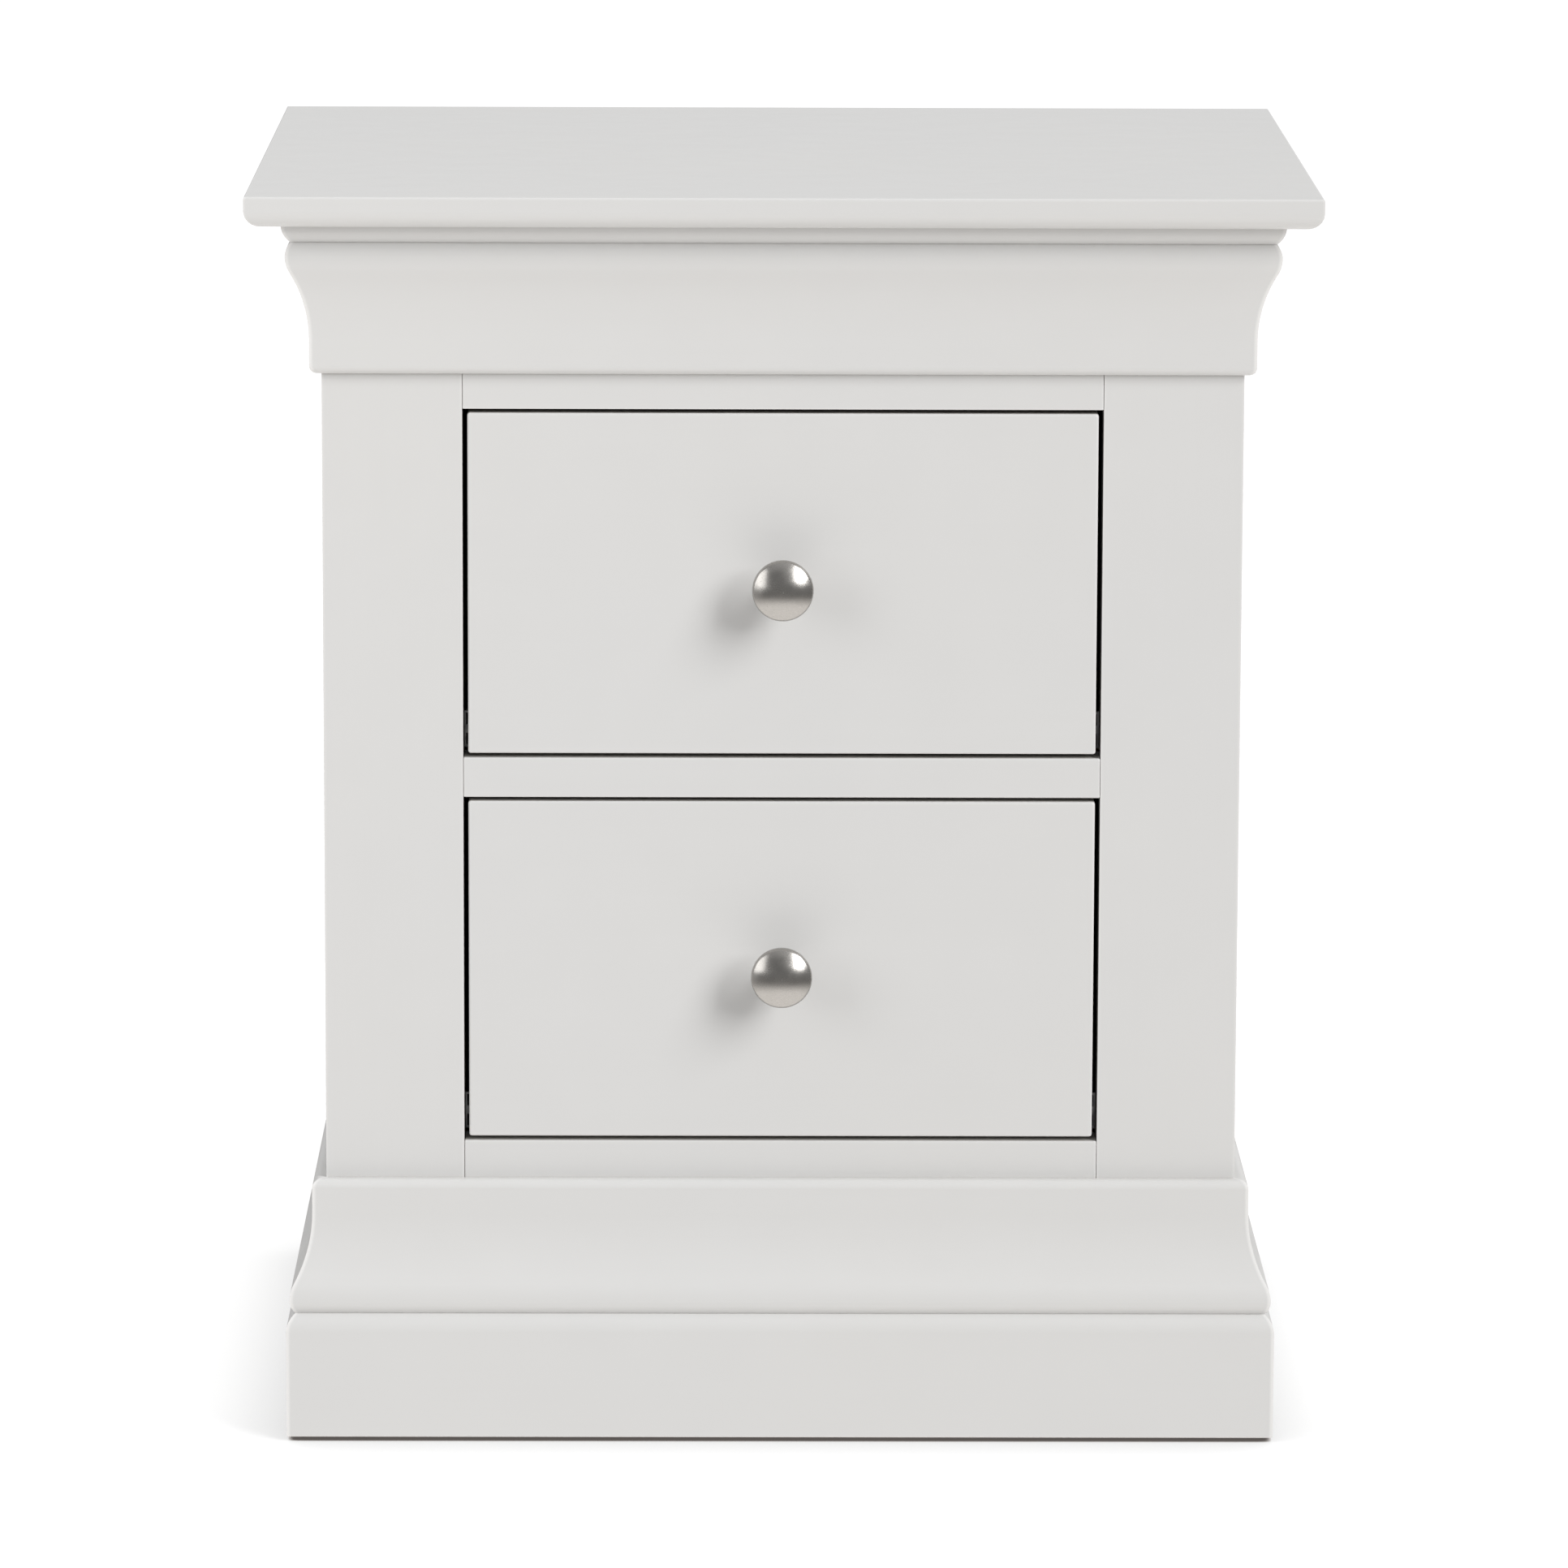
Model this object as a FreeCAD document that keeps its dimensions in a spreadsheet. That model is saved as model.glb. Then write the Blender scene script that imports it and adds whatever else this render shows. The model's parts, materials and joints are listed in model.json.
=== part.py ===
import FreeCAD, Part
import os
import re

import Sketcher

# A two-drawer nightstand of painted wood. It stands on the floor at z = 0, with its front towards
# -Y and the middle of its footprint at the origin. Every driving size is in millimetres.
DIMENSIONS = {
    # the whole piece and its top board
    "overall_height": 572,
    "top_width": 480,
    "top_depth": 400,
    "top_thickness": 14,
    "top_overhang": 32.8,
    "back_overhang": 4,
    "top_under_round": 8,
    "arris": 1,
    # front frame
    "stile_width": 63,
    "frame_thickness": 20,
    "opening_height": 159,
    "middle_rail_height": 18.2,
    "lower_opening_foot": 136.9,
    "tenon_length": 24,
    "tenon_thickness": 8,
    "tenon_shoulder": 3,
    # mouldings: one ogee section serves the crown and, turned over, the base
    "ovolo_drop": 8.4,
    "ovolo_throw": 4.2,
    "bead_drop": 6.2,
    "bead_throw": 2.6,
    "cove_drop": 31.2,
    "cove_throw": 8.2,
    "swell_ratio": 0.235,
    "lip_height": 15.6,
    "lip_round": 4,
    "crown_lip": 5.3,
    "base_moulding_head": 119.6,
    "plinth_thickness": 18,
    "mitre_reach": 20,
    # carcass boards
    "board_foot": 12,
    "side_thickness": 18,
    "back_thickness": 6,
    "back_rebate": 9,
    "back_rail_height": 80,
    "bottom_thickness": 12,
    "bottom_head": 122,
    "housing_depth": 6,
    "block_width": 40,
    "block_height": 60,
    "packer_height": 32,
    # glides under the plinth
    "glide_height": 2,
    "glide_radius": 5,
    "glide_nail_radius": 1,
    "glide_nail_length": 12,
    "glide_front_x": 190,
    "glide_back_y": 176,
    # drawer fronts and boxes
    "side_gap": 2.3,
    "foot_gap": 2,
    "head_gap": 1.8,
    "front_thickness": 20,
    "box_thickness": 12,
    "box_lift": 0.8,
    "box_height": 128,
    "box_back_y": 166,
    "key_length": 8,
    "key_neck": 7,
    "key_end": 9.2,
    "floor_lift": 12,
    "floor_thickness": 6,
    "groove_depth": 6,
    "floor_play": 0.5,
    "pin_count": 4,
    "pin_wide": 9,
    "pin_narrow": 6,
    # knobs
    "knob_radius": 13.8,
    "knob_projection": 25,
    "knob_foot_radius": 7.5,
    "knob_foot_height": 2,
    "knob_neck_radius": 5,
    "knob_neck_height": 8,
    "knob_flare_height": 18.2,
    "knob_rim_height": 19.28,
    "knob_rim_round": 2,
    "knob_dome_foot": 20.92,
    "knob_dome_radius": 12.95,
    "knob_collar": 0.8,
    "knob_bore_radius": 2.05,
    "knob_bore_depth": 13,
    "front_hole_radius": 2.6,
    # ball-bearing slides: sizes in their section run from the cabinet side towards the drawer
    "slide_height": 17,
    "slide_width": 10,
    "slide_length": 310,
    "slide_steel": 1.2,
    "slide_front_gap": 1.5,
    "slide_lift": 1,
    "slide_clearance": 0.3,
    "outer_lip_start": 7.4,
    "outer_lip_drop": 2.2,
    "inner_half": 4.2,
    "inner_start": 2.9,
    "cage_start": 1.7,
    "cage_end": 6.6,
    "cage_steel": 0.5,
    "cage_half": 6,
    "cage_play": 2.5,
    "travel": 225,
    "ball_radius": 1.5,
    "ball_across": 4.9,
    "ball_play": 0.1,
    "ball_rows": 6,
    "ball_pitch": 13,
    "stop_half": 2,
    "stop_steel": 1,
    "stop_reach": 2.5,
    "stop_play": 0.5,
    # screws
    "slide_screw_head": 2.7,
    "slide_screw_shank": 1.4,
    "slide_screw_length": 10,
    "slide_screw_play": 0.1,
    "slide_screw_inset": 18,
    "wood_screw_head": 3.6,
    "wood_screw_shank": 1.75,
    "back_screw_length": 20,
    "back_screw_rows": 4,
    "top_screw_length": 68,
    "knob_screw_head": 4,
    "knob_screw_head_height": 2.4,
    "knob_screw_shank": 1.95,
    "knob_screw_reach": 11,
    "recess_width": 0.9,
    "recess_reach": 0.55,
    "recess_depth": 0.5,
}

# Places worked out from the driving sizes
PLACES = {
    "top_under": "overall_height - top_thickness",
    "carcass_half": "top_width/2 - top_overhang",
    "face_y": "top_overhang - top_depth/2",
    "frame_back": "face_y + frame_thickness",
    "carcass_back": "top_depth/2 - back_overhang",
    "panel_front": "carcass_back - back_thickness",
    "side_inner": "carcass_half - side_thickness",
    "opening_half": "carcass_half - stile_width",
    "lower_opening_head": "lower_opening_foot + opening_height",
    "upper_opening_foot": "lower_opening_head + middle_rail_height",
    "upper_opening_head": "upper_opening_foot + opening_height",
    "swell_drop": "cove_drop*swell_ratio",
    "swell_throw": "cove_throw*swell_ratio",
    "moulding_height": "lip_height + cove_drop + swell_drop + bead_drop",
    "crown_head": "top_under - ovolo_drop",
    "crown_foot": "crown_head - moulding_height",
    "crown_swell": "crown_lip + cove_throw + swell_throw",
    "base_moulding_foot": "base_moulding_head - moulding_height",
    "base_swell": "plinth_thickness - ovolo_throw + bead_throw",
    "base_lip": "base_swell - cove_throw - swell_throw",
    "plinth_height": "base_moulding_foot - glide_height",
    "packer_face": "opening_half + slide_clearance",
    "box_half": "packer_face - slide_width",
    "box_inner": "box_half - box_thickness",
    "front_half": "opening_half - side_gap",
    "front_height": "opening_height - foot_gap - head_gap",
    "front_back": "face_y + front_thickness",
    "drawer_back_foot": "floor_lift + floor_thickness",
    "pin_pitch": "(box_height - drawer_back_foot)/pin_count",
    "slide_front": "front_back + slide_front_gap",
    "slide_half": "slide_height/2",
    "cage_length": "slide_length - travel - 2*cage_play",
    "cage_front": "slide_front + (slide_length - cage_length)/2",
    "ball_level": "(slide_half - slide_steel + inner_half)/2",
}

WORD = re.compile(r"[a-z]\w*")
SIDES = {"left": -1, "right": 1}
LEVELS = {"upper": "upper_opening_foot", "lower": "lower_opening_foot"}
ORIGIN = ("0", "0", "0")
SLIDE_SCREW_PLACES = ("slide_screw_inset", "slide_length/2", "slide_length - slide_screw_inset")
TOUCH = 1e-3

doc = FreeCAD.newDocument("Nightstand")
sheet = doc.addObject("Spreadsheet::Sheet", "Dims")
origins = {}
subparts = []


def fill_sheet():
    """Write each driving size into a cell of the sheet, under its own name."""
    for row, (name, size) in enumerate(DIMENSIONS.items(), start=1):
        sheet.set("A%d" % row, name)
        sheet.set("B%d" % row, str(size))
        sheet.setAlias("B%d" % row, name)
    doc.recompute()


def cells(text):
    """Spell out a size in cells of the sheet, as the document's expressions need it."""
    def spell(match):
        word = match.group()
        if word in PLACES:
            return "(" + cells(PLACES[word]) + ")"
        if word in DIMENSIONS:
            return "Dims." + word
        return word
    return WORD.sub(spell, text)


def number(text):
    """The present value of a size, in millimetres."""
    return float(sheet.evalExpression(cells(text)))


def arc_radius(throw, drop):
    """The radius of an arc that leaves a line along drop and swings sideways by throw."""
    return "((%s)^2 + (%s)^2)/(2*(%s))" % (throw, drop, throw)


def span(side, inner, outer):
    """A stretch of X from inner to outer, on the left or the right of the middle."""
    if side == "right":
        return (inner, outer)
    return ("-(%s)" % outer, "-(%s)" % inner)


def towards(side, size):
    """A signed distance away from the middle on the given side."""
    return size if side == "right" else "-(%s)" % size


# ---------------------------------------------------------------- features


def new_body(label, origin=ORIGIN):
    """An empty body whose own origin stands at the given place."""
    body = doc.addObject("PartDesign::Body", label)
    body.Label = label
    for axis, text in zip("xyz", origin):
        body.setExpression("Placement.Base." + axis, cells(text))
    origins[label] = origin
    subparts.append(body)
    return body


def new_sketch(body, role, name):
    """A sketch on one of the body's own origin planes."""
    sketch = body.newObject("Sketcher::SketchObject", body.Label + "_" + name)
    plane = next(item for item in body.Origin.OriginFeatures if item.Role == role)
    sketch.AttachmentSupport = [(plane, "")]
    sketch.MapMode = "FlatFace"
    return sketch


def arc_between(start, end, radius):
    """An arc shorter than half a turn; a positive radius turns left on the way to its end."""
    chord = end - start
    middle = (start + end)/2
    height = (radius**2 - (chord.Length/2)**2)**0.5
    left = FreeCAD.Vector(-chord.y, chord.x, 0).normalize()
    centre = middle + left*(height if radius > 0 else -height)
    first, last = (start, end) if radius > 0 else (end, start)
    circle = Part.Circle(centre, FreeCAD.Vector(0, 0, 1), abs(radius))
    return Part.ArcOfCircle(circle, circle.parameter(first), circle.parameter(last))


def draw(sketch, corners):
    """Draw one closed outline, every corner and radius held by the sheet.

    A corner is (across, up) or (across, up, turn, radius), where the stretch that starts there is
    an arc that turns left (1) or right (-1).
    """
    points = [FreeCAD.Vector(number(corner[0]), number(corner[1]), 0) for corner in corners]
    ends = []
    for index, corner in enumerate(corners):
        start = points[index]
        end = points[(index + 1) % len(points)]
        if len(corner) == 2:
            ends.append((sketch.addGeometry(Part.LineSegment(start, end)), 1, 2))
            continue
        turn, radius = corner[2:]
        edge = sketch.addGeometry(arc_between(start, end, turn*number(radius)))
        ends.append((edge, 1, 2) if turn > 0 else (edge, 2, 1))
        held = sketch.addConstraint(Sketcher.Constraint("Radius", edge, number(radius)))
        sketch.setExpression("Constraints[%d]" % held, cells(radius))
    for index, (edge, start, end) in enumerate(ends):
        after, after_start, _ = ends[(index + 1) % len(ends)]
        sketch.addConstraint(Sketcher.Constraint("Coincident", edge, end, after, after_start))
        for kind, text in zip(("DistanceX", "DistanceY"), corners[index]):
            held = sketch.addConstraint(Sketcher.Constraint(kind, edge, start, number(text)))
            sketch.setExpression("Constraints[%d]" % held, cells(text))


def mirrored(corners):
    """The same outline on the other side of the up axis, its arcs turning the other way."""
    flipped = []
    for across, up, *bend in corners:
        if bend:
            bend[0] = -bend[0]
        flipped.append(("-(%s)" % across, up, *bend))
    return flipped


def extrude(body, kind, sketch, length, reverse=False, both_ways=False):
    """A Pad or a Pocket from a sketch."""
    feature = body.newObject("PartDesign::" + kind, sketch.Name + "_" + kind.lower())
    feature.Profile = sketch
    feature.setExpression("Length", cells(length))
    feature.Reversed = reverse
    feature.SideType = "Symmetric" if both_ways else "One side"
    sketch.Visibility = False
    return feature


def revolve(body, sketch, axis):
    """A full turn of a sketch about one of its own axes."""
    feature = body.newObject("PartDesign::Revolution", sketch.Name + "_revolution")
    feature.Profile = sketch
    feature.ReferenceAxis = (sketch, [axis])
    feature.Angle = 360
    return feature


def box_feature(body, kind, name, spans):
    """An Additive or Subtractive box over three spans of the whole piece's frame."""
    feature = body.newObject("PartDesign::%sBox" % kind, body.Label + "_" + name)
    sizes = ("Length", "Width", "Height")
    for size, axis, (low, high), origin in zip(sizes, "xyz", spans, origins[body.Label]):
        feature.setExpression(size, cells("(%s) - (%s)" % (high, low)))
        feature.setExpression("Placement.Base." + axis, cells("(%s) - (%s)" % (low, origin)))
    return feature


def hole(body, name, foot, direction, radius, depth, mouth_radius=None):
    """A round hole along direction from foot; with a mouth radius it is a countersink."""
    kind = "Cone" if mouth_radius else "Cylinder"
    feature = body.newObject("PartDesign::Subtractive" + kind, body.Label + "_" + name)
    rotation = FreeCAD.Rotation(FreeCAD.Vector(0, 0, 1), FreeCAD.Vector(*direction))
    feature.Placement = FreeCAD.Placement(FreeCAD.Vector(), rotation)
    feature.setExpression("Height", cells(depth))
    if mouth_radius:
        feature.setExpression("Radius1", cells(radius))
        feature.setExpression("Radius2", cells(mouth_radius))
    else:
        feature.setExpression("Radius", cells(radius))
    for axis, text, origin in zip("xyz", foot, origins[body.Label]):
        feature.setExpression("Placement.Base." + axis, cells("(%s) - (%s)" % (text, origin)))
    return feature


def repeat(body, feature, axis_role, pitch, count):
    """Repeat a feature along one of the body's axes, at an even pitch."""
    pattern = body.newObject("PartDesign::LinearPattern", feature.Name + "_row")
    pattern.Originals = [feature]
    axis = next(item for item in body.Origin.OriginFeatures if item.Role == axis_role)
    pattern.Direction = (axis, [""])
    pattern.setExpression("Length", cells("(%s)*(%s - 1)" % (pitch, count)))
    pattern.setExpression("Occurrences", cells(count))
    body.Tip = pattern
    return pattern


def round_edges(body, radius, chosen):
    """Round the edges that chosen picks by their middle point and direction."""
    doc.recompute()
    base = body.Tip
    names = []
    for index, edge in enumerate(base.Shape.Edges, start=1):
        if chosen(edge):
            names.append("Edge%d" % index)
    fillet = body.newObject("PartDesign::Fillet", body.Label + "_round")
    fillet.Base = (base, names)
    fillet.setExpression("Radius", cells(radius))
    return fillet


def board(label, spans):
    """A plain board over three spans of the whole piece's frame."""
    (x_low, x_high), (y_low, y_high), (z_low, z_high) = spans
    body = new_body(label, (x_low, y_low, z_low))
    sketch = new_sketch(body, "XY_Plane", "outline")
    width = "(%s) - (%s)" % (x_high, x_low)
    depth = "(%s) - (%s)" % (y_high, y_low)
    draw(sketch, [("0", "0"), (width, "0"), (width, depth), ("0", depth)])
    extrude(body, "Pad", sketch, "(%s) - (%s)" % (z_high, z_low))
    return body


def group(label, solids):
    """Several identical small pieces kept together as separate solids."""
    feature = doc.addObject("Part::Feature", label)
    feature.Label = label
    feature.Shape = Part.makeCompound(solids)
    feature.Placement = FreeCAD.Placement()
    subparts.append(feature)


# ---------------------------------------------------------------- top and mouldings


def top_board():
    """The top: a thin board, well rounded under its front and side edges."""
    body = board("top_panel", (("-top_width/2", "top_width/2"), ("-top_depth/2", "top_depth/2"),
                               ("top_under", "overall_height")))
    back = number("top_depth") - TOUCH
    head = number("top_thickness") - TOUCH

    def under_edge(edge):
        middle = edge.CenterOfMass
        return middle.z < TOUCH and middle.y < back

    def upper_edge(edge):
        return edge.BoundBox.ZMin > head

    round_edges(body, "top_under_round", under_edge)
    eased = round_edges(body, "arris", upper_edge)
    eased.Label = "top_panel_arris"


def ogee_section(lip):
    """The crown's section: a lip, a cove, a swell and a bead, from its foot up."""
    cove_top = "lip_height + cove_drop"
    swell_top = cove_top + " + swell_drop"
    swell = lip + " + cove_throw + swell_throw"
    return [
        ("0", "0"),
        (lip + " - lip_round", "0", 1, "lip_round"),
        (lip, "lip_round"),
        (lip, "lip_height", -1, arc_radius("cove_throw", "cove_drop")),
        (lip + " + cove_throw", cove_top, 1, arc_radius("swell_throw", "swell_drop")),
        (swell, swell_top, 1, arc_radius("bead_throw", "bead_drop")),
        (swell + " - bead_throw", "moulding_height"),
        ("0", "moulding_height"),
    ]


def turned_over(section, height):
    """The same section upside down."""
    flipped = []
    for index in range(len(section) - 1, -1, -1):
        across, up = section[index][:2]
        bend = section[index - 1][2:]
        flipped.append((across, "%s - (%s)" % (height, up)) + tuple(bend))
    return flipped


def ovolo_section():
    """The strip under the top: a quarter round that fills the corner over the crown."""
    groove = "crown_swell - bead_throw"
    return [
        ("0", "0"),
        (groove, "0", 1, arc_radius("ovolo_throw", "ovolo_drop")),
        (groove + " + ovolo_throw", "ovolo_drop"),
        ("0", "ovolo_drop"),
    ]


def plinth_section():
    """The plinth board: square at the foot, with a quarter round at its head."""
    round_foot = "plinth_height - ovolo_drop"
    return [
        ("0", "0"),
        ("plinth_thickness - arris", "0", 1, "arris"),
        ("plinth_thickness", "arris"),
        ("plinth_thickness", round_foot, 1, arc_radius("ovolo_throw", "ovolo_drop")),
        ("plinth_thickness - ovolo_throw", "plinth_height"),
        ("0", "plinth_height"),
    ]


def moulding_run(label, foot, height, section):
    """Three mitred lengths of one section, round the front and both sides of the carcass."""
    front = new_body(label + "_front", ("0", "face_y", foot))
    sketch = new_sketch(front, "YZ_Plane", "section")
    draw(sketch, mirrored(section))
    extrude(front, "Pad", sketch, "2*(carcass_half + mitre_reach)", both_ways=True)
    mitres = new_sketch(front, "XY_Plane", "mitres")
    mitre = [("carcass_half", "0"), ("carcass_half + mitre_reach", "-mitre_reach"),
             ("carcass_half + mitre_reach", "0")]
    draw(mitres, mitre)
    draw(mitres, mirrored(mitre))
    extrude(front, "Pocket", mitres, height, reverse=True)
    length = "carcass_back - face_y"
    for side in SIDES:
        body = new_body("%s_%s" % (label, side), (towards(side, "carcass_half"), "carcass_back", foot))
        sketch = new_sketch(body, "XZ_Plane", "section")
        draw(sketch, section if side == "right" else mirrored(section))
        extrude(body, "Pad", sketch, length + " + mitre_reach")
        mitre = [("0", "-(%s)" % length), ("0", "-(%s) - mitre_reach" % length),
                 ("mitre_reach", "-(%s) - mitre_reach" % length)]
        cut = new_sketch(body, "XY_Plane", "mitre")
        draw(cut, mitre if side == "right" else mirrored(mitre))
        extrude(body, "Pocket", cut, height, reverse=True)


# ---------------------------------------------------------------- carcass


RAILS = {
    "rail_top": ("upper_opening_head", "top_under"),
    "rail_middle": ("lower_opening_head", "upper_opening_foot"),
    "rail_bottom": ("board_foot", "lower_opening_foot"),
}
TENON_DEPTH = ("face_y + frame_thickness/2 - tenon_thickness/2",
               "face_y + frame_thickness/2 + tenon_thickness/2")


def tenon_height(low, high):
    """The height that a rail's tenon takes, inside the rail's own."""
    return (low + " + tenon_shoulder", high + " - tenon_shoulder")


def front_frame():
    """Two stiles and three rails, joined by blind mortises and tenons."""
    depth = ("face_y", "frame_back")
    for side in SIDES:
        stile = board("stile_" + side, (span(side, "opening_half", "carcass_half"), depth,
                                        ("board_foot", "top_under")))
        for rail, (low, high) in RAILS.items():
            mortise = span(side, "opening_half", "opening_half + tenon_length")
            box_feature(stile, "Subtractive", rail + "_mortise",
                        (mortise, TENON_DEPTH, tenon_height(low, high)))
    for rail, (low, high) in RAILS.items():
        body = board(rail, (("-opening_half", "opening_half"), depth, (low, high)))
        for side in SIDES:
            tenon = span(side, "opening_half", "opening_half + tenon_length")
            box_feature(body, "Additive", side + "_tenon", (tenon, TENON_DEPTH, tenon_height(low, high)))


def side_panels():
    """Side boards behind the stiles, rebated for the back and housed for the bottom."""
    for side in SIDES:
        body = board("side_panel_" + side, (span(side, "side_inner", "carcass_half"),
                                            ("frame_back", "carcass_back"), ("board_foot", "top_under")))
        box_feature(body, "Subtractive", "rebate", (span(side, "side_inner", "side_inner + back_rebate"),
                                                    ("panel_front", "carcass_back"),
                                                    ("board_foot", "top_under")))
        box_feature(body, "Subtractive", "housing", (span(side, "side_inner", "side_inner + housing_depth"),
                                                     ("frame_back", "panel_front"),
                                                     ("bottom_head - bottom_thickness", "bottom_head")))


def inner_boards():
    """The back panel, the two rails behind it and the bottom board."""
    back_half = "side_inner + back_rebate"
    board("back_panel", (("-(%s)" % back_half, back_half), ("panel_front", "carcass_back"),
                         ("board_foot", "top_under")))
    rail_depth = ("panel_front - side_thickness", "panel_front")
    inside = ("-side_inner", "side_inner")
    board("back_rail_top", (inside, rail_depth, ("top_under - back_rail_height", "top_under")))
    board("back_rail_bottom", (inside, rail_depth, ("board_foot", "bottom_head - bottom_thickness")))
    housed_half = "side_inner + housing_depth"
    board("bottom_panel", (("-(%s)" % housed_half, housed_half), ("frame_back", "panel_front"),
                           ("bottom_head - bottom_thickness", "bottom_head")))


def solid_box(spans):
    """A plain block over three spans of the whole piece's frame."""
    lows = [number(low) for low, _ in spans]
    sizes = [number("(%s) - (%s)" % (high, low)) for low, high in spans]
    return Part.makeBox(*sizes, FreeCAD.Vector(*lows))


def corner_blocks():
    """Glue blocks in the upper corners, which hold the top, and in the lower corners."""
    heights = (("top_under - block_height", "top_under"), ("board_foot", "board_foot + block_height"))
    rail_front = "panel_front - side_thickness"
    depths = (("frame_back", "frame_back + block_width"), (rail_front + " - block_width", rail_front))
    blocks = []
    for side in SIDES:
        across = span(side, "side_inner - block_width", "side_inner")
        blocks += [solid_box((across, depth, height)) for depth in depths for height in heights]
    group("corner_blocks", blocks)


def slide_centre(level):
    """The height of the middle of one drawer's slides."""
    return LEVELS[level] + " + slide_lift + slide_half"


def packers():
    """Battens that bring the slides in from the side boards to the edge of the opening."""
    blocks = []
    for level in LEVELS:
        centre = slide_centre(level)
        height = (centre + " - packer_height/2", centre + " + packer_height/2")
        for side in SIDES:
            across = span(side, "packer_face", "side_inner")
            blocks.append(solid_box((across, ("frame_back", "box_back_y"), height)))
    group("slide_packers", blocks)


def turned(profile, foot, direction):
    """A solid of revolution from (radius, height) points, stood at foot along direction."""
    points = [FreeCAD.Vector(radius, 0, height) for radius, height in profile]
    face = Part.Face(Part.makePolygon(points + points[:1]))
    solid = face.revolve(FreeCAD.Vector(), FreeCAD.Vector(0, 0, 1), 360)
    rotation = FreeCAD.Rotation(FreeCAD.Vector(0, 0, 1), FreeCAD.Vector(*direction))
    solid.Placement = FreeCAD.Placement(FreeCAD.Vector(*foot), rotation)
    return solid


def glides():
    """Four round glides under the inner edge of the plinth, each with a nail that goes up into it."""
    base = number("glide_height")
    radius = number("glide_radius")
    nail = number("glide_nail_radius")
    tip = base + number("glide_nail_length")
    profile = [(0, 0), (radius - base/2, 0), (radius, base/2), (radius, base), (nail, base),
               (nail, tip - 2*nail), (0, tip)]
    front_x = number("glide_front_x")
    side_x = number("carcass_half") + radius
    front_y = number("face_y") - radius
    back_y = number("glide_back_y")
    feet = [(sign*x, y, 0) for sign in SIDES.values() for x, y in ((front_x, front_y), (side_x, back_y))]
    group("glides", [turned(profile, foot, (0, 0, 1)) for foot in feet])


# ---------------------------------------------------------------- screws


def cross_recess(head, depth, top):
    """The cross that a screwdriver fits, sunk to depth below top in a head of the given radius."""
    width = number("recess_width")
    reach = number("recess_reach")*head
    corner = FreeCAD.Vector(-reach, -width/2, top - depth)
    blade = Part.makeBox(2*reach, width, depth, corner)
    crossed = blade.copy()
    crossed.rotate(FreeCAD.Vector(), FreeCAD.Vector(0, 0, 1), 90)
    return blade.fuse(crossed)


def countersunk_screw(head, shank, length, foot, direction):
    """A countersunk wood screw with a cross recess; direction points out of its head."""
    sunk = head - shank
    profile = [(0, 0), (head, 0), (shank, -sunk), (shank, 2*shank - length), (0, -length)]
    recess = cross_recess(head, number("recess_depth")*sunk, 0)
    screw = turned(profile, (0, 0, 0), (0, 0, 1)).cut(recess)
    rotation = FreeCAD.Rotation(FreeCAD.Vector(0, 0, 1), FreeCAD.Vector(*direction))
    screw.Placement = FreeCAD.Placement(FreeCAD.Vector(*foot), rotation)
    return screw


def wood_screws(label, length, feet, direction):
    """A group of the larger wood screws."""
    head = number("wood_screw_head")
    shank = number("wood_screw_shank")
    group(label, [countersunk_screw(head, shank, number(length), foot, direction) for foot in feet])


def carcass_screws():
    """Screws up through the corner blocks into the top, and through the back panel."""
    block_x = number("side_inner - block_width/2")
    block_foot = number("top_under - block_height")
    block_y = (number("frame_back + block_width/2"),
               number("panel_front - side_thickness - block_width/2"))
    feet = [(sign*block_x, y, block_foot) for sign in SIDES.values() for y in block_y]
    wood_screws("top_screws", "top_screw_length", feet, (0, 0, -1))
    edge_x = number("side_inner + back_rebate/2")
    back_y = number("carcass_back")
    low = number("board_foot + back_rail_height/2")
    high = number("top_under - back_rail_height/2")
    rows = int(number("back_screw_rows"))
    feet = [(sign*edge_x, back_y, low + (high - low)*row/(rows - 1))
            for sign in SIDES.values() for row in range(rows)]
    rail_x = number("side_inner/2")
    feet += [(x, back_y, z) for x in (-rail_x, 0, rail_x) for z in (low, high)]
    wood_screws("back_screws", "back_screw_length", feet, (0, 1, 0))


def slide_screws(label, levels, face, outward):
    """The small screws that hold slide members to a wooden face."""
    head = number("slide_screw_head")
    shank = number("slide_screw_shank")
    length = number("slide_screw_length")
    screws = []
    for level in levels:
        for side, sign in SIDES.items():
            for place in SLIDE_SCREW_PLACES:
                foot = (sign*number(face), number("slide_front + " + place), number(slide_centre(level)))
                direction = (sign*outward, 0, 0)
                screws.append(countersunk_screw(head, shank, length, foot, direction))
    group(label, screws)


# ---------------------------------------------------------------- slides


def across_slide(side, distance):
    """X of a point in a slide's section, at a distance from the cabinet side towards the drawer."""
    return towards(side, "packer_face - (%s)" % distance)


def slide_outline(side, points):
    """A section given as (distance from the cabinet side, height), for either side."""
    return [(towards(side, "-(%s)" % distance), height) for distance, height in points]


def channel(label, side, level, points, length, front="slide_front"):
    """A straight length of folded steel with the given section."""
    origin = (towards(side, "packer_face"), front, slide_centre(level))
    body = new_body(label, origin)
    sketch = new_sketch(body, "XZ_Plane", "section")
    draw(sketch, slide_outline(side, points))
    extrude(body, "Pad", sketch, length, reverse=True)
    return body


def slide_stop(body, name, side, level, start, end, front):
    """A small tab folded across the channel."""
    centre = slide_centre(level)
    near = across_slide(side, start)
    far = across_slide(side, end)
    across = (far, near) if side == "right" else (near, far)
    depth = (front, front + " + stop_steel")
    height = (centre + " - stop_half", centre + " + stop_half")
    box_feature(body, "Additive", name, (across, depth, height))


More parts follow.
